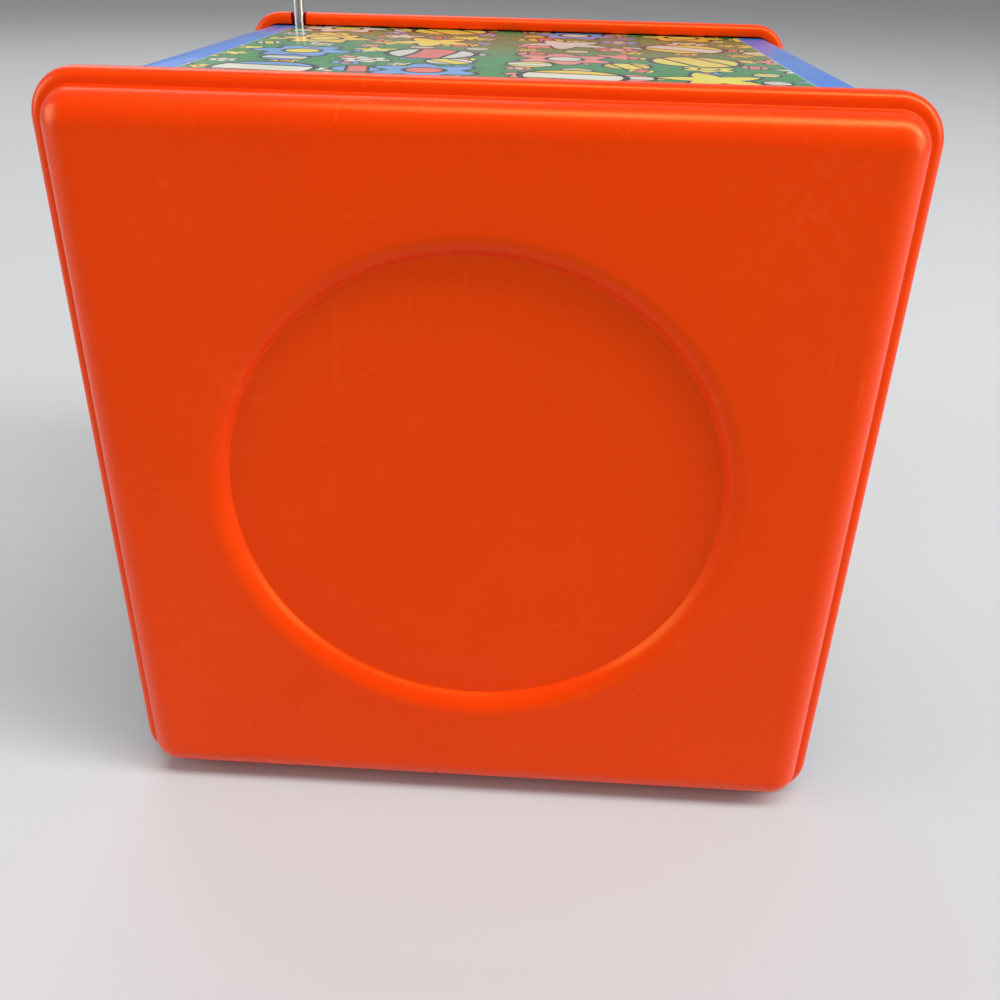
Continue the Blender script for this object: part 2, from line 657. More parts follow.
# Top frame: a moulded frame whose bead and skirt hold the sheet between them
def build_top_frame():
    corner = FRAME_CORNER
    bead_bottom = SHOULDER_Z - FRAME_BEAD_DROP
    channel_half = BODY_HALF + GAP
    channel_corner = BODY_CORNER + GAP
    skirt_corner = BODY_CORNER - BODY_SHEET - GAP
    skirt_inner = FRAME_SKIRT_HALF - FRAME_SKIRT
    skirt_inner_corner = skirt_corner - FRAME_SKIRT / 2
    skirt_bottom = SHOULDER_Z - FRAME_SKIRT_DROP
    seat_corner = LID_CORNER - (LID_HALF - SEAT_HALF)

    def opening(z):
        place = (0, OPENING_BACK_SHIFT)
        return rounded(OPENING_HALF_X, OPENING_HALF_Y, OPENING_CORNER, z, place, PLAIN_STEPS)

    rings = [
        opening(SEAT_TOP),
        plain(SEAT_HALF - SEAT_CHAMFER, seat_corner - SEAT_CHAMFER, SEAT_TOP),
        plain(SEAT_HALF, seat_corner, SEAT_TOP - SEAT_CHAMFER),
        plain(SEAT_HALF, seat_corner, SHOULDER_Z),
    ]
    inset = FRAME_HALF - FRAME_SHOULDER_HALF
    shares = ((1, 0), (0.36, 0.09), (0, 0.34), (0, 0.66), (0.27, 0.89), (0.8, 1))
    for in_share, down_share in shares:
        half = FRAME_HALF - inset * in_share
        z = SHOULDER_Z - FRAME_BEAD_DROP * down_share
        rings.append(plain(half, corner - inset * in_share, z))
    rings += [
        plain(channel_half, channel_corner, bead_bottom),
        plain(channel_half, channel_corner, CHANNEL_TOP),
        plain(FRAME_SKIRT_HALF, skirt_corner, CHANNEL_TOP),
        plain(FRAME_SKIRT_HALF, skirt_corner, skirt_bottom),
        plain(skirt_inner, skirt_inner_corner, skirt_bottom),
        plain(skirt_inner, skirt_inner_corner, DECK_UNDER),
        opening(DECK_UNDER),
    ]
    frame = loft("top_frame", rings, closed=True)
    added = []
    profile = [
        (0, SINK), (BOSS_RADIUS, SINK), (BOSS_RADIUS, -BOSS_LENGTH),
        (BOSS_HOLE_RADIUS, -BOSS_LENGTH), (BOSS_HOLE_RADIUS, -BOSS_ROOF), (0, -BOSS_ROOF),
    ]
    for x in foot_screw_x():
        added.append(turned("boss", profile, (x, foot_screw_y(), DECK_UNDER), steps=16))
    for x in ear_places():
        added.append(hinge_ear(x))
    cutters = [
        crank_slot(skirt_inner - OVERRUN, FRAME_HALF + OVERRUN, skirt_bottom - OVERRUN, CRANK_Z),
        bar(
            "latch_slot",
            (TAB_X - TAB_WIDTH / 2 - SLOT_CLEARANCE, TAB_BACK_Y - TAB_WALL - SLOT_CLEARANCE,
             DECK_UNDER - OVERRUN),
            (TAB_X + TAB_WIDTH / 2 + SLOT_CLEARANCE, TAB_BACK_Y + BARB_REACH + SLOT_CLEARANCE,
             SEAT_TOP + OVERRUN),
        ),
    ]
    pin_half = HINGE_KNUCKLE / 2 + HINGE_EAR + GAP + OVERRUN
    for side in (-1, 1):
        x = side * HINGE_SPREAD
        cutters.append(bore(HINGE_PIN_RADIUS + GAP, HINGE_Y, HINGE_Z, x - pin_half, x + pin_half))
    piece("top_frame", cut(join(frame, *added), *cutters), ORANGE, CASE)


def foot_screw_x():
    left = LEFT_PLATE_X - FOOT_REACH / 2
    right = RIGHT_PLATE_X - FOOT_REACH / 2
    return left, right


def foot_screw_y():
    return -PLATE_BACK - FOOT_WIDTH / 2


def ear_places():
    offset = HINGE_KNUCKLE / 2 + GAP + HINGE_EAR / 2
    return [side * HINGE_SPREAD + step * offset for side in (-1, 1) for step in (-1, 1)]


def hinge_ear(x):
    """A lug on the back bead, round about the hinge pin."""
    radius = HINGE_BARREL_RADIUS
    foot_z = SHOULDER_Z - FRAME_BEAD_DROP / 2
    foot_front = LID_HALF + GAP
    foot_back = FRAME_HALF - SINK
    outline = arc((HINGE_Y, HINGE_Z), radius, 0, pi, 10)
    outline.append((foot_front, foot_z))
    outline.append((foot_back, foot_z))
    return plate("ear", [outline], x - HINGE_EAR / 2, x + HINGE_EAR / 2)


# Lid: a shallow moulded tray that closes over the seat, with a tab for the latch
def build_lid():
    corner = LID_CORNER
    inner_half = LID_HALF - LID_WALL
    border_half = LID_HALF - LID_BORDER_WIDTH
    border_corner = corner - LID_EDGE_RADIUS / 2
    round_z = LID_TOP - LID_EDGE_RADIUS
    rings = [
        circle(LID_DISC_RADIUS - LID_BORDER_RISE, LID_TOP),
        circle(LID_DISC_RADIUS, LID_FIELD),
        square(border_half, border_corner, LID_FIELD),
        square(border_half + LID_BORDER_RISE, border_corner, LID_TOP),
    ]
    edge_middle = LID_HALF - LID_EDGE_RADIUS
    for half, z in arc((edge_middle, round_z), LID_EDGE_RADIUS, pi / 2, 0, 4):
        rings.append(square(half, corner - (LID_HALF - half), z))
    rings += [
        square(LID_HALF, corner, LID_SKIRT_BOTTOM),
        square(inner_half, corner - LID_WALL, LID_SKIRT_BOTTOM),
        square(inner_half, corner - LID_WALL, LID_UNDER),
    ]
    tray = loft("lid", rings)
    added = [latch_tab()]
    bores = []
    radius = HINGE_BARREL_RADIUS
    for side in (-1, 1):
        start = side * HINGE_SPREAD - HINGE_KNUCKLE / 2
        end = start + HINGE_KNUCKLE
        web_front = LID_HALF - LID_WALL / 2
        outline = arc((HINGE_Y, HINGE_Z), radius, -pi / 2, pi / 3, 10)
        outline.append((web_front, LID_FIELD))
        outline.append((web_front, LID_SKIRT_BOTTOM))
        added.append(plate("knuckle", [outline], start, end))
        bores.append(bore(HINGE_PIN_RADIUS + GAP, HINGE_Y, HINGE_Z, start, end))
    piece("lid", cut(join(tray, *added), *bores), ORANGE, LID)


def latch_tab():
    """The tab under the front of the lid, with the barb that the latch hooks over."""
    back = TAB_BACK_Y
    front = TAB_BACK_Y - TAB_WALL
    outline = [
        (front, LID_UNDER + LID_PLATE / 2),
        (front, TAB_BOTTOM),
        (back, TAB_BOTTOM),
        (back + BARB_REACH, BARB_TOP - BARB_HEIGHT / 3),
        (back + BARB_REACH, BARB_TOP),
        (back, BARB_TOP),
        (back, LID_UNDER + LID_PLATE / 2),
    ]
    return plate("tab", [outline], TAB_X - TAB_WIDTH / 2, TAB_X + TAB_WIDTH / 2)


def build_hinge_pins():
    half = HINGE_KNUCKLE / 2 + GAP + HINGE_EAR
    for side, name in ((-1, "hinge_pin_left"), (1, "hinge_pin_right")):
        start = side * HINGE_SPREAD - half - GAP
        length = 2 * half + 2 * GAP
        head = HINGE_PIN_RADIUS + 2 * GAP
        profile = [
            (0, length + HINGE_PIN_HEAD), (head, length + HINGE_PIN_HEAD), (head, length),
            (HINGE_PIN_RADIUS, length), (HINGE_PIN_RADIUS, 0), (0, 0),
        ]
        pin = turned(name, profile, (start, HINGE_Y, HINGE_Z), (1, 0, 0), 16)
        piece(name, pin, STEEL, CASE)


# Gears: involute flanks above the base circle and radial flanks below it
def gear_outline(teeth, y, z, phase):
    pitch_radius = teeth * MODULE / 2
    base_radius = pitch_radius * cos(PRESSURE_ANGLE)
    tip_radius = pitch_radius + ADDENDUM_SHARE * MODULE
    root_radius = pitch_radius - DEDENDUM_SHARE * MODULE

    def involute(radius):
        roll = sqrt(max(radius * radius / (base_radius * base_radius), 1) - 1)
        return roll - atan(roll)

    half_pitch = pi / (2 * teeth) - BACKLASH / (2 * pitch_radius) + involute(pitch_radius)
    flank_radii = (root_radius, base_radius, pitch_radius, tip_radius)
    if base_radius < root_radius:
        flank_radii = (root_radius, tip_radius)
    points = []
    for tooth in range(teeth):
        middle = phase + 2 * pi * tooth / teeth
        sides = []
        for radius in flank_radii:
            sides.append((half_pitch - involute(radius), radius))
        for half, radius in [(-half, radius) for half, radius in sides] + sides[::-1]:
            points.append((y + radius * cos(middle + half), z + radius * sin(middle + half)))
    return points


def mesh_phase(first_phase, first_teeth, second_teeth, direction):
    """The phase that sets a tooth of the first gear in a gap of the second, along direction."""
    off = ((direction - first_phase) / (2 * pi / first_teeth)) % 1
    back = direction + pi
    return back - (0.5 - off) * (2 * pi / second_teeth)


CRANK_PHASE = 0.0
FIRST_DIRECTION = -TRAIN_ANGLE
SECOND_DIRECTION = -pi / 2
MIDDLE_PHASE = mesh_phase(CRANK_PHASE, PINION_TEETH, WHEEL_TEETH, FIRST_DIRECTION)
DRUM_PHASE = mesh_phase(MIDDLE_PHASE, PINION_TEETH, WHEEL_TEETH, SECOND_DIRECTION)


def build_gears():
    crank_start = MIDDLE_WHEEL_X - PINION_OVERLAP
    crank_end = MIDDLE_WHEEL_X + WHEEL_WIDTH + PINION_OVERLAP
    outline = gear_outline(PINION_TEETH, CRANK_Y, CRANK_Z, CRANK_PHASE)
    hole = ring_hole(CRANK_WIRE_RADIUS + GAP, CRANK_Y, CRANK_Z)
    pinion = plate("crank_pinion", [outline, hole], crank_start, crank_end)
    piece("crank_pinion", pinion, BRASS, CRANK)

    wheel_end = MIDDLE_WHEEL_X + WHEEL_WIDTH
    hole = ring_hole(AXLE_RADIUS + GAP, MIDDLE_Y, MIDDLE_Z)
    windows = wheel_windows(MIDDLE_Y, MIDDLE_Z)
    outline = gear_outline(WHEEL_TEETH, MIDDLE_Y, MIDDLE_Z, MIDDLE_PHASE)
    wheel = plate("middle_gear", [outline, hole, *windows], MIDDLE_WHEEL_X, wheel_end)
    outline = gear_outline(PINION_TEETH, MIDDLE_Y, MIDDLE_Z, MIDDLE_PHASE)
    small_start = DRUM_GEAR_X - PINION_OVERLAP
    small = plate("small", [outline, hole], small_start, MIDDLE_WHEEL_X + SINK)
    piece("middle_gear", join(wheel, small), WHITE, MIDDLE)

    hole = ring_hole(DRUM_AXLE_RADIUS + GAP, DRUM_Y, DRUM_Z)
    outline = gear_outline(WHEEL_TEETH, DRUM_Y, DRUM_Z, DRUM_PHASE)
    windows = wheel_windows(DRUM_Y, DRUM_Z)
    gear_end = DRUM_GEAR_X + WHEEL_WIDTH
    gear = plate("drum_gear", [outline, hole, *windows], DRUM_GEAR_X, gear_end)
    hub_radius = DRUM_RADIUS * 2 / 3
    hub = plate(
        "hub",
        [ring_hole(hub_radius, DRUM_Y, DRUM_Z), hole],
        DRUM_X + DRUM_LENGTH + GAP,
        DRUM_GEAR_X + SINK,
    )
    piece("drum_gear", join(gear, hub), WHITE, DRUM)


def wheel_windows(y, z):
    """Five round lightening holes through a wheel."""
    reach = WHEEL_TEETH * MODULE / 2 * 0.62
    radius = MODULE * 4
    holes = []
    for turn in range(5):
        angle = 2 * pi * turn / 5
        holes.append(ring_hole(radius, y + reach * cos(angle), z + reach * sin(angle), 8))
    return holes


def build_drum():
    """The tune drum: a cylinder with a nub for each note, by a rule that spreads them evenly."""
    y, z = DRUM_Y, DRUM_Z
    start = DRUM_X
    end = DRUM_X + DRUM_LENGTH
    drum = rod("tune_drum", DRUM_RADIUS, (start, y, z), (end, y, z), 32)
    nubs = bmesh.new()
    count = TRACKS * NUBS_PER_TRACK
    pitch = DRUM_LENGTH / (TRACKS + 1)
    golden = pi * (3 - sqrt(5))
    for number in range(count):
        track = number % TRACKS
        angle = number * golden
        made = bmesh.ops.create_cube(nubs, size=1)["verts"]
        size = Vector((NUB_WIDTH, NUB_WIDTH, NUB_HEIGHT + 2 * SINK))
        bmesh.ops.scale(nubs, vec=size, verts=made)
        lift = DRUM_RADIUS + NUB_HEIGHT - size.z / 2
        bmesh.ops.translate(nubs, vec=(0, 0, lift), verts=made)
        bmesh.ops.rotate(nubs, cent=(0, 0, 0), matrix=Matrix.Rotation(angle, 3, "X"), verts=made)
        bmesh.ops.translate(nubs, vec=(start + pitch * (track + 1), y, z), verts=made)
    nubbed = join(drum, to_mesh(nubs, "nubs"))
    hole = bore(DRUM_AXLE_RADIUS + GAP, y, z, start, end)
    piece("tune_drum", cut(nubbed, hole), BRASS, DRUM)
    axle_start = TAB_X - LATCH_WIDTH / 2 - RUN_GAP
    axle_end = RIGHT_PLATE_X + PLATE + RUN_GAP
    axle = rod("drum_axle", DRUM_AXLE_RADIUS, (axle_start, y, z), (axle_end, y, z), 16)
    piece("drum_axle", axle, STEEL, DRUM)


def build_cam():
    """The release cam on the drum's axle, whose lobe passes close by the latch's tail."""
    lobe = latch_tail_face() - GAP
    outline = []
    for half in arc((0, 0), lobe, -CAM_HALF_ANGLE, CAM_HALF_ANGLE, 4):
        outline.append(half)
    outline += arc((0, 0), CAM_HUB_RADIUS, 3 * CAM_HALF_ANGLE, 2 * pi - 3 * CAM_HALF_ANGLE, 16)
    turned_outline = []
    for u, v in outline:
        y = DRUM_Y + u * cos(CAM_REST_ANGLE) - v * sin(CAM_REST_ANGLE)
        z = DRUM_Z + u * sin(CAM_REST_ANGLE) + v * cos(CAM_REST_ANGLE)
        turned_outline.append((y, z))
    hole = ring_hole(DRUM_AXLE_RADIUS + GAP, DRUM_Y, DRUM_Z, 16)
    start = TAB_X - CAM_WIDTH / 2
    cam = plate("release_cam", [turned_outline, hole], start, start + CAM_WIDTH)
    piece("release_cam", cam, WHITE, DRUM)


def latch_tail_face():
    """How far the working face of the latch's tail stands from the drum's axis."""
    return -LATCH_PIVOT_FROM_DRUM[0] + LATCH_ARM + LATCH_TAIL / 2


# Movement frame: two steel side plates and the web that joins them, hung from the deck
def build_movement_frame():
    top = DECK_UNDER - PLATE_TOP_GAP
    foot_top = DECK_UNDER - BOSS_LENGTH - GAP
    edge_top = foot_top - SINK
    front = -PLATE_FRONT
    back = -PLATE_BACK
    inset = PLATE_BOTTOM_INSET
    low = PLATE_BOTTOM - SINK
    outline = [
        (front + PLATE_NOTCH, top), (front, top - PLATE_NOTCH), (front, DRUM_Z),
        (front + inset, low), (back - inset, low), (back, DRUM_Z),
        (back, edge_top), (back - FOOT_WIDTH, edge_top), (back - FOOT_WIDTH - PLATE_NOTCH, top),
    ]
    left_holes = [
        ring_hole(CRANK_WIRE_RADIUS + GAP, CRANK_Y, CRANK_Z),
        ring_hole(AXLE_RADIUS + GAP, MIDDLE_Y, MIDDLE_Z, 16),
        ring_hole(DRUM_AXLE_RADIUS + GAP, DRUM_Y, DRUM_Z, 16),
        ring_hole(STUD_RADIUS + GAP, LATCH_Y, LATCH_Z, 16),
        ring_hole(LATCH_SPRING_HOLE_RADIUS, *spring_hole_place(), 16),
    ]
    right_holes = [
        ring_hole(BUSH_RADIUS + GAP, CRANK_Y, CRANK_Z),
        ring_hole(AXLE_RADIUS + GAP, MIDDLE_Y, MIDDLE_Z, 16),
        ring_hole(DRUM_AXLE_RADIUS + GAP, DRUM_Y, DRUM_Z, 16),
    ]
    left_end = LEFT_PLATE_X + PLATE
    right_end = RIGHT_PLATE_X + PLATE
    left = plate("movement_frame", [outline, *left_holes], LEFT_PLATE_X, left_end)
    right = plate("right", [outline, *right_holes], RIGHT_PLATE_X, right_end)
    web = bar(
        "web",
        (LEFT_PLATE_X + PLATE / 2, front + inset + SINK, PLATE_BOTTOM),
        (RIGHT_PLATE_X + PLATE / 2, back - inset - SINK, PLATE_BOTTOM + PLATE),
    )
    feet = []
    holes = []
    for x, plate_x in zip(foot_screw_x(), (LEFT_PLATE_X, RIGHT_PLATE_X)):
        corner = (plate_x - FOOT_REACH, back - FOOT_WIDTH + SINK, foot_top - PLATE)
        feet.append(bar("foot", corner, (plate_x + PLATE / 2, back + SINK, foot_top)))
        y = foot_screw_y()
        ends = ((x, y, foot_top - PLATE - OVERRUN), (x, y, foot_top + OVERRUN))
        holes.append(rod("hole", FOOT_HOLE_RADIUS, *ends, 16))
    mesh = cut(join(left, right, web, *feet), *holes)
    piece("movement_frame", mesh, STEEL, CASE)


def build_axle_and_bush():
    start = LEFT_PLATE_X - GAP
    length = RIGHT_PLATE_X + PLATE + RUN_GAP - start
    profile = [
        (0, length), (AXLE_RADIUS, length), (AXLE_RADIUS, 0), (AXLE_RADIUS + AXLE_HEAD, 0),
        (AXLE_RADIUS + AXLE_HEAD, -AXLE_HEAD), (0, -AXLE_HEAD),
    ]
    axle = turned("middle_axle", profile, (start, MIDDLE_Y, MIDDLE_Z), (1, 0, 0), 16)
    piece("middle_axle", axle, STEEL, CASE)
    start = RIGHT_PLATE_X - GAP
    inner = CRANK_WIRE_RADIUS + GAP
    length = PLATE + 2 * GAP
    profile = [
        (inner, length + BUSH_FLANGE), (BUSH_FLANGE_RADIUS, length + BUSH_FLANGE),
        (BUSH_FLANGE_RADIUS, length), (BUSH_RADIUS, length), (BUSH_RADIUS, 0), (inner, 0),
    ]
    bush = turned("crank_bush", profile, (start, CRANK_Y, CRANK_Z), (1, 0, 0), 16)
    piece("crank_bush", bush, WHITE, CASE)


def screw_mesh(name, place, length, axis):
    """A round-head screw whose head's underside is at place, with its shank along axis."""
    profile = [
        (0, length), (SCREW_SHANK_RADIUS, length - SCREW_SHANK_RADIUS), (SCREW_SHANK_RADIUS, 0),
        (SCREW_HEAD_RADIUS, 0), (SCREW_HEAD_RADIUS, -SCREW_HEAD / 2),
        (SCREW_HEAD_RADIUS * 2 / 3, -SCREW_HEAD), (0, -SCREW_HEAD),
    ]
    return turned(name, profile, place, axis, SMALL_STEPS)


def build_screws():
    foot_under = DECK_UNDER - BOSS_LENGTH - 2 * GAP - PLATE
    y = foot_screw_y()
    length = DECK_UNDER - BOSS_ROOF - GAP - foot_under
    for x, side in zip(foot_screw_x(), ("left", "right")):
        name = "movement_screw_" + side
        piece(name, screw_mesh(name, (x, y, foot_under), length, (0, 0, 1)), STEEL, CASE)
    for number, (x, y) in enumerate(seat_screw_places(), 1):
        name = f"seat_screw_{number}"
        head_z = SEAT_RING_TOP + GAP
        length = head_z - DISC_TOP - 2 * GAP
        piece(name, screw_mesh(name, (x, y, head_z), length, (0, 0, -1)), STEEL, CASE)
    comb_front = DRUM_Y - COMB_PLATE / 2 - GAP
    length = COMB_PLATE + BLOCK_DEPTH
    for x, side in zip(comb_screw_x(), ("left", "right")):
        name = "comb_screw_" + side
        place = (x, comb_front, comb_screw_z())
        piece(name, screw_mesh(name, place, length, (0, 1, 0)), STEEL, CASE)


# Comb: one steel plate slit into teeth, the low notes' teeth the longest
def comb_screw_x():
    middle = DRUM_X + DRUM_LENGTH / 2
    return middle - BLOCK_SCREW_SPREAD / 2, middle + BLOCK_SCREW_SPREAD / 2


def comb_bottom():
    return PLATE_BOTTOM + PLATE + GAP


def comb_screw_z():
    return comb_bottom() + COMB_FOOT / 2


def build_comb():
    pitch = DRUM_LENGTH / (TRACKS + 1)
    tip = DRUM_Z - DRUM_RADIUS - NUB_HEIGHT - GAP
    low = comb_bottom()
    first = DRUM_X + pitch
    last = first + (TRACKS - 1) * pitch
    half = pitch * TOOTH_SHARE / 2
    outline = [(first - half - COMB_SIDE, low), (last + half + COMB_SIDE, low)]
    short, long = TOOTH_LENGTHS
    outline.append((last + half + COMB_SIDE, tip - long))
    for track in reversed(range(TRACKS)):
        x = first + pitch * track
        right_length = long + (short - long) * (TRACKS - 1 - track) / (TRACKS - 1)
        left_length = long + (short - long) * (TRACKS - track) / (TRACKS - 1)
        outline.append((x + half, tip - right_length))
        outline.append((x + half, tip))
        outline.append((x - half, tip))
        outline.append((x - half, tip - left_length))
    outline.append((first - half - COMB_SIDE, tip - short))
    holes = [ring_hole(SCREW_SHANK_RADIUS + GAP, x, comb_screw_z(), 16) for x in comb_screw_x()]
    back = DRUM_Y + COMB_PLATE / 2
    comb = plate("comb", [outline, *holes], DRUM_Y - COMB_PLATE / 2, back, BACKWARD)
    piece("comb", comb, SPRING_STEEL, CASE)
    left = first - half - COMB_SIDE
    right = last + half + COMB_SIDE
    top = low + COMB_FOOT
    face = [(left, low), (right, low), (right, top), (left, top)]
    start = back + GAP
    block = plate("comb_block", [face, *holes], start, start + BLOCK_DEPTH, BACKWARD)
    piece("comb_block", block, BRASS, CASE)


# Latch: a lever on a stud, whose hook holds the lid's barb and whose tail the cam passes
def build_latch():
    y, z = LATCH_Y, LATCH_Z
    start = TAB_X - LATCH_WIDTH / 2
    end = start + LATCH_WIDTH
    tip_y = TAB_BACK_Y + BARB_REACH - LATCH_HOOK_BITE
    hook_z = BARB_TOP + GAP
    arm_front = y - LATCH_ARM / 2 + LATCH_TAIL / 2
    arm_back = arm_front + LATCH_ARM
    arm = [
        (tip_y, hook_z), (tip_y, hook_z + LATCH_HOOK_HEIGHT / 2),
        (tip_y + LATCH_HOOK_BITE, hook_z + LATCH_HOOK_HEIGHT),
        (arm_back, hook_z + LATCH_HOOK_HEIGHT), (arm_back, z), (arm_front, z),
        (arm_front, hook_z),
    ]
    tail_back = DRUM_Y - latch_tail_face()
    tail_low = DRUM_Z - LATCH_TAIL_DROP
    tail = [
        (tail_back - LATCH_TAIL, tail_low), (tail_back, tail_low),
        (tail_back, DRUM_Z + LATCH_TAIL), (y + LATCH_TAIL / 2, z), (y - LATCH_BOSS_RADIUS, z),
        (tail_back - LATCH_TAIL, DRUM_Z + 2 * LATCH_TAIL),
    ]
    lever = join(
        plate("latch_lever", [arm], start, end),
        plate("tail", [tail], start, end),
        rod("boss", LATCH_BOSS_RADIUS, (start, y, z), (end, y, z), 20),
    )
    lever = cut(lever, bore(STUD_RADIUS + GAP, y, z, start, end))
    piece("latch_lever", lever, WHITE, LATCH)
    stud_end = LEFT_PLATE_X + PLATE
    length = stud_end - (start - GAP)
    profile = [
        (0, length), (STUD_RADIUS, length), (STUD_RADIUS, 0), (STUD_HEAD_RADIUS, 0),
        (STUD_HEAD_RADIUS, -STUD_HEAD), (0, -STUD_HEAD),
    ]
    stud = turned("latch_stud", profile, (start - GAP, y, z), (1, 0, 0), 16)
    piece("latch_stud", stud, STEEL, CASE)
    build_latch_spring(arm_back)


def spring_hole_place():
    return LATCH_Y, LATCH_Z - LATCH_SPRING_SHORT_LEG


def build_latch_spring(arm_back):
    """A torsion spring on the stud: one leg hooks behind the lever and one into the plate."""
    steps = 10
    wire_x = TAB_X + LATCH_WIDTH / 2 + GAP + LATCH_SPRING_WIRE
    leg_y = arm_back + GAP + LATCH_SPRING_WIRE
    radius = LATCH_SPRING_RADIUS
    points = [
        (TAB_X, leg_y, LATCH_Z + LATCH_SPRING_LEG),
        (wire_x, leg_y, LATCH_Z + LATCH_SPRING_LEG),
        (wire_x, (leg_y + LATCH_Y + radius) / 2, LATCH_Z + radius),
    ]
    end_angle = -2 * pi * LATCH_SPRING_TURNS - pi / 2
    count = int(steps * -end_angle / (2 * pi))
    for step in range(count + 1):
        angle = end_angle * step / count
        x = wire_x + LATCH_SPRING_PITCH * -angle / (2 * pi)
        points.append((x, LATCH_Y + radius * cos(angle), LATCH_Z + radius * sin(angle)))
    hole_y, hole_z = spring_hole_place()
    points.append((points[-1][0], hole_y, hole_z))
    points.append((LEFT_PLATE_X + PLATE, hole_y, hole_z))
    print_least_gap("latch_spring", points[2:-2], LATCH_SPRING_WIRE, steps)
    spring = wire("latch_spring", points, LATCH_SPRING_WIRE, 1)
    piece("latch_spring", spring, SPRING_STEEL, LATCH)


def print_least_gap(name, points, radius, steps):
    """Prints the least gap between turns of a wound wire, measured between its points."""
    least = None
    for i, first in enumerate(points):
        for second in points[i + steps // 2:]:
            gap = (Vector(first) - Vector(second)).length - 2 * radius
            least = gap if least is None else min(least, gap)
    print(f"{name}: least gap to itself {least * 1000:.2f} mm")


# Crank: one bent steel wire with a turning knob
def build_crank():
    corners = [
        (LEFT_PLATE_X - CLIP_WIDTH - 2 * GAP - RUN_GAP, CRANK_Z),
        (ARM_X, CRANK_Z),
        (ARM_X, HANDLE_Z),
        (HANDLE_END_X, HANDLE_Z),
    ]
    points = [corners[0]]
    bend = CRANK_BEND
    points += arc((ARM_X - bend, CRANK_Z - bend), bend, pi / 2, 0, 6)
    points += arc((ARM_X + bend, HANDLE_Z + bend), bend, pi, 1.5 * pi, 6)
    points.append(corners[-1])
    path = [(x, CRANK_Y, z) for x, z in points]
    piece("crank_shaft", wire("crank_shaft", path, CRANK_WIRE_RADIUS, 3), STEEL, CRANK)

    inner = CRANK_WIRE_RADIUS + GAP / 2
    start = LEFT_PLATE_X - GAP - CLIP_WIDTH
    profile = [(inner, CLIP_WIDTH), (CLIP_RADIUS, CLIP_WIDTH), (CLIP_RADIUS, 0), (inner, 0)]
    clip = turned("crank_clip", profile, (start, CRANK_Y, CRANK_Z), (1, 0, 0), 16)
    piece("crank_clip", clip, SPRING_STEEL, CRANK)

    knob_end = HANDLE_END_X - 2 * GAP
    knob_start = knob_end - KNOB_LENGTH
    inner = CRANK_WIRE_RADIUS + GAP
    profile = [(inner, KNOB_LENGTH)]
    profile += arc((KNOB_WAIST_RADIUS - KNOB_EDGE, KNOB_LENGTH - KNOB_EDGE), KNOB_EDGE, pi / 2, 0, 4)
    middle = KNOB_LENGTH * 0.6
    profile.append((KNOB_RADIUS - KNOB_EDGE / 4, middle + KNOB_EDGE))
    profile.append((KNOB_RADIUS, middle))
    profile.append((KNOB_RADIUS - KNOB_EDGE / 4, middle - KNOB_EDGE))
    profile.append((KNOB_WAIST_RADIUS - KNOB_EDGE / 2, KNOB_LENGTH * 0.25))
    profile += arc((KNOB_WAIST_RADIUS - KNOB_EDGE, KNOB_EDGE), KNOB_EDGE, 0, -pi / 2, 4)
    profile.append((inner, 0))
    place = (knob_start, CRANK_Y, HANDLE_Z)
    piece("crank_knob", turned("crank_knob", profile, place, (1, 0, 0), 16), YELLOW, KNOB)

    start = knob_start - GAP - WASHER
    profile = [(inner, WASHER), (WASHER_RADIUS, WASHER), (WASHER_RADIUS, 0), (inner, 0)]
    washer = turned("knob_washer", profile, (start, CRANK_Y, HANDLE_Z), (1, 0, 0), 16)
    piece("knob_washer", washer, SPRING_STEEL, CRANK)

    place = (HANDLE_END_X, CRANK_Y, HANDLE_Z)
    end_cap = turned("handle_end_cap", end_cap_profile(), place, (1, 0, 0), 16)
    piece("handle_end_cap", end_cap, STEEL, CRANK)


def end_cap_profile():
    """A domed cap on the end face of the handle, heights from that face."""
    dome = arc((0, 0), END_CAP_RADIUS, pi / 2, 0, 6)
    half = END_CAP / 2
    return [(u, GAP + half * v / END_CAP_RADIUS) for u, v in dome] + [(0, GAP)]


# Puppet: a head, hat, collar and arms on a plug that a coil spring pushes up
def build_spring_seat():
    ring_out = spring_inner_radius() - GAP
    ring_in = ring_out - SEAT_RING_WALL
    stand = SEAT_RING_STAND
    profile = [
        (SEAT_RING_HOLE_RADIUS, SEAT_RING_TOP), (ring_in, SEAT_RING_TOP),
        (ring_in, SEAT_RING_TOP + SPRING_UPSTAND), (ring_out, SEAT_RING_TOP + SPRING_UPSTAND),
        (ring_out, SEAT_RING_TOP), (SEAT_RING_RADIUS, SEAT_RING_TOP),
        (SEAT_RING_RADIUS, SEAT_RING_BOTTOM - stand),
        (SEAT_RING_RADIUS - SEAT_RING_WALL, SEAT_RING_BOTTOM - stand),
        (SEAT_RING_RADIUS - SEAT_RING_WALL, SEAT_RING_BOTTOM),
        (SEAT_RING_HOLE_RADIUS, SEAT_RING_BOTTOM),
    ]
    seat = turned("spring_seat", profile, (0, PUPPET_BACK_SHIFT, 0), steps=28)
    holes = []
    for x, y in seat_screw_places():
        ends = ((x, y, SEAT_RING_BOTTOM - OVERRUN), (x, y, SEAT_RING_TOP + OVERRUN))
        holes.append(rod("hole", SCREW_SHANK_RADIUS + GAP, *ends, SMALL_STEPS))
    piece("spring_seat", cut(seat, *holes), WHITE, CASE)


def spring_inner_radius():
    """Inside the wire of the pop spring, at the middle of the straight runs that it is made of."""
    return SPRING_RADIUS * cos(pi / SPRING_STEPS) - SPRING_WIRE


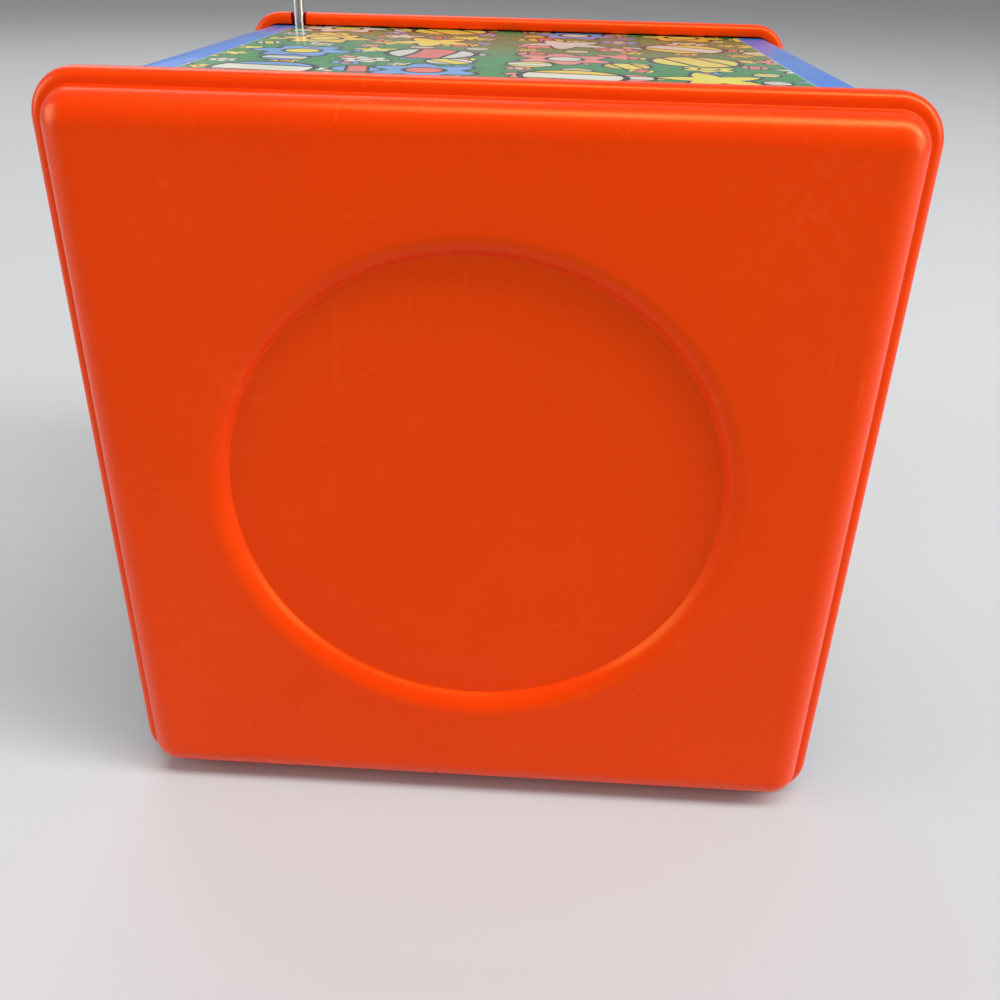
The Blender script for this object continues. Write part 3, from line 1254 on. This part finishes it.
def build_pop_spring():
    steps = SPRING_STEPS
    start = SPRING_BOTTOM + SPRING_WIRE
    rise = SPRING_HEIGHT - 2 * SPRING_WIRE
    count = steps * SPRING_TURNS
    points = []
    for step in range(count + 1):
        angle = 2 * pi * step / steps
        x = SPRING_RADIUS * cos(angle)
        y = PUPPET_BACK_SHIFT + SPRING_RADIUS * sin(angle)
        points.append((x, y, start + rise * step / count))
    print_least_gap("pop_spring", points, SPRING_WIRE, steps)
    piece("pop_spring", wire("pop_spring", points, SPRING_WIRE, 1), SPRING_STEEL, CASE)


def build_neck_plug():
    ring_out = spring_inner_radius() - GAP
    ring_in = ring_out - SEAT_RING_WALL
    profile = [
        (0, PLUG_TOP + NECK_HEIGHT), (NECK_RADIUS - GAP, PLUG_TOP + NECK_HEIGHT),
        (NECK_RADIUS, PLUG_TOP + NECK_HEIGHT - GAP), (NECK_RADIUS, PLUG_TOP),
        (PLUG_RADIUS, PLUG_TOP), (PLUG_RADIUS, PLUG_BOTTOM), (ring_out, PLUG_BOTTOM),
        (ring_out, PLUG_BOTTOM - SPRING_UPSTAND), (ring_in, PLUG_BOTTOM - SPRING_UPSTAND),
        (ring_in, PLUG_BOTTOM), (0, PLUG_BOTTOM),
    ]
    plug = turned("neck_plug", profile, (0, PUPPET_BACK_SHIFT, 0), steps=28)
    piece("neck_plug", plug, WHITE, PUPPET)


def costume_radius(share):
    """The outer radius of the cloth at a share of its height: a bell shape in soft folds."""
    bell = COSTUME_HEM_RADIUS + (COSTUME_SHOULDER_RADIUS - COSTUME_HEM_RADIUS) * share
    fold = COSTUME_FOLD_DEPTH / 2 * (cos(2 * pi * COSTUME_FOLDS * share) - 1)
    return bell + fold


def build_costume():
    """The cloth tube over the spring, pushed down into folds and gathered at the neck."""
    bottom = DISC_TOP + GAP
    shoulder = PLUG_BOTTOM - COSTUME_CLOTH
    steps = 3 * COSTUME_FOLDS
    outside = []
    inside = []
    for step in range(steps + 1):
        share = step / steps
        z = bottom + (shoulder - bottom) * share
        outside.append((costume_radius(share), z))
        inside.append((costume_radius(share) - COSTUME_CLOTH, z))
    over = PLUG_TOP + GAP
    neck = NECK_RADIUS + GAP
    outside.append((PLUG_RADIUS, over + COSTUME_CLOTH))
    inside.append((PLUG_RADIUS + GAP, over))
    outside.append((neck + COSTUME_CLOTH, over + COSTUME_CLOTH))
    outside.append((neck + COSTUME_CLOTH, COSTUME_TOP))
    inside.append((neck, over))
    inside.append((neck, COSTUME_TOP))
    profile = outside[::-1] + inside
    costume = turned("costume", profile, (0, PUPPET_BACK_SHIFT, 0), steps=24)
    piece("costume", costume, BLUE, CASE)


def build_ruffle():
    """The collar: a ring of cloth whose waves grow towards its edge."""
    inner = NECK_RADIUS + 2 * GAP + COSTUME_CLOTH
    steps = 6 * RUFFLE_WAVES

    def row(share, lift):
        radius = inner + (RUFFLE_RADIUS - inner) * share
        points = []
        for step in range(steps):
            angle = 2 * pi * step / steps
            wave = RUFFLE_WAVE * share * cos(RUFFLE_WAVES * angle)
            rise = RUFFLE_RISE * share * (1 - share)
            x = radius * cos(angle)
            y = PUPPET_BACK_SHIFT + radius * sin(angle)
            points.append((x, y, RUFFLE_Z + rise + wave + lift))
        return points

    shares = (0, 0.4, 0.75, 1)
    rings = [row(share, RUFFLE_CLOTH) for share in shares]
    rings += [row(share, 0) for share in shares[::-1]]
    piece("collar", loft("collar", rings, closed=True), YELLOW, PUPPET)


def head_mesh(name, grow):
    """The head's form, or the same form larger by grow for cutting what sits on it."""
    mesh = ball(name, HEAD_RADIUS + grow, (0, 0, 0), (1, 1, HEAD_STRETCH_SHARE), 24, 14)
    half = HEAD_HALF_HEIGHT
    for vertex in mesh.vertices:
        level = vertex.co.z / half
        cheek = 1 + CHEEK_SHARE * cos(pi * min(max(level + 0.25, -0.5), 0.5))
        vertex.co.x *= cheek
        vertex.co.y *= cheek
    mesh.transform(Matrix.Translation((0, PUPPET_BACK_SHIFT, HEAD_Z)))
    return mesh


def build_head():
    y = PUPPET_BACK_SHIFT
    ears = []
    for side in (-1, 1):
        centre = (side * HEAD_RADIUS, y, HEAD_Z - EAR_RADIUS)
        ears.append(ball("ear", EAR_RADIUS, centre, (0.55, 1, 1.15), 12, 8))
    neck_top = PLUG_TOP + NECK_HEIGHT + GAP
    socket_bottom = HEAD_Z - HEAD_HALF_HEIGHT - OVERRUN
    socket = rod("socket", NECK_RADIUS + GAP, (0, y, socket_bottom), (0, y, neck_top))
    head = cut(join(head_mesh("head", 0), *ears), socket)
    piece("head", head, SKIN, PUPPET)

    front = HEAD_RADIUS * (1 + CHEEK_SHARE)
    centre = (0, y - front - NOSE_RADIUS * 0.35, HEAD_Z - NOSE_RADIUS / 2)
    nose = cut(ball("nose", NOSE_RADIUS, centre, across=14, up=8), head_mesh("form", GAP))
    piece("nose", nose, RED, PUPPET)
    for side, name in ((-1, "hair_left"), (1, "hair_right")):
        centre = (side * (HEAD_RADIUS + HAIR_RADIUS / 4), y + EAR_RADIUS, HEAD_Z + HAIR_RADIUS)
        tuft = ball(name, HAIR_RADIUS, centre, (0.8, 1.1, 1), 14, 8)
        ear = ball("ear_form", EAR_RADIUS + GAP, ear_place(side), (0.55, 1, 1.15), 12, 8)
        piece(name, cut(tuft, head_mesh("form", GAP), ear), HAIR, PUPPET)
    build_hat()


def ear_place(side):
    return side * HEAD_RADIUS, PUPPET_BACK_SHIFT, HEAD_Z - EAR_RADIUS


def build_hat():
    y = PUPPET_BACK_SHIFT
    base = HEAD_Z + HEAD_HALF_HEIGHT * HAT_BASE_SHARE
    crown = arc((0, base + HAT_BRIM), 1, pi / 2, 0, 8)
    profile = []
    for u, v in crown:
        profile.append((u * HAT_RADIUS, base + HAT_BRIM + (v - base - HAT_BRIM) * HAT_HEIGHT))
    profile += [
        (HAT_BRIM_RADIUS, base + HAT_BRIM / 2), (HAT_BRIM_RADIUS, base), (0, base),
    ]
    profile[0] = (0, profile[0][1])
    hat = cut(turned("hat", profile, (0, y, 0), steps=28), head_mesh("form", GAP))
    for side in (-1, 1):
        centre = (side * (HEAD_RADIUS + HAIR_RADIUS / 4), y + EAR_RADIUS, HEAD_Z + HAIR_RADIUS)
        hat = cut(hat, ball("tuft", HAIR_RADIUS + GAP, centre, (0.8, 1.1, 1), 14, 8))
    piece("hat", hat, FELT, PUPPET)
    top = base + HAT_BRIM + HAT_HEIGHT
    pompom = ball("pompom", POMPOM_RADIUS, (0, y, top + POMPOM_RADIUS + GAP), across=12, up=8)
    piece("pompom", pompom, YELLOW, PUPPET)


def build_arms():
    """Stuffed arms that hang from under the collar, with felt hands."""
    y = PUPPET_BACK_SHIFT
    top = PLUG_BOTTOM - ARM_RADIUS
    for side, name in ((-1, "left"), (1, "right")):
        shoulder_x = COSTUME_SHOULDER_RADIUS + ARM_RADIUS * 3 / 4 + GAP
        first = Vector((side * shoulder_x, y, top))
        last = Vector((side * (shoulder_x + ARM_LEAN / 2), y, top - ARM_LENGTH))
        span = (last - first).length
        profile = [(0, span)]
        profile += [(ARM_RADIUS * 0.95, span), (ARM_RADIUS, span * 0.6)]
        profile += [(ARM_RADIUS * 0.9, span * 0.2)]
        profile += [(u, v) for u, v in arc((0, 0), ARM_RADIUS * 0.85, 0, -pi / 2, 4)]
        profile[-1] = (0, profile[-1][1])
        arm = turned("arm_" + name, profile, first, last - first, SMALL_STEPS)
        piece("arm_" + name, arm, BLUE, PUPPET)
        centre = last + (last - first).normalized() * (HAND_RADIUS + GAP)
        hand = ball("hand_" + name, HAND_RADIUS, centre, (0.7, 0.9, 1), 12, 8)
        piece("hand_" + name, hand, WHITE, PUPPET)


build_base_cap()
build_body_sheet()
build_top_frame()
build_lid()
build_hinge_pins()
build_movement_frame()
build_axle_and_bush()
build_gears()
build_drum()
build_cam()
build_comb()
build_screws()
build_latch()
build_crank()
build_spring_seat()
build_pop_spring()
build_neck_plug()
build_costume()
build_ruffle()
build_head()
build_arms()
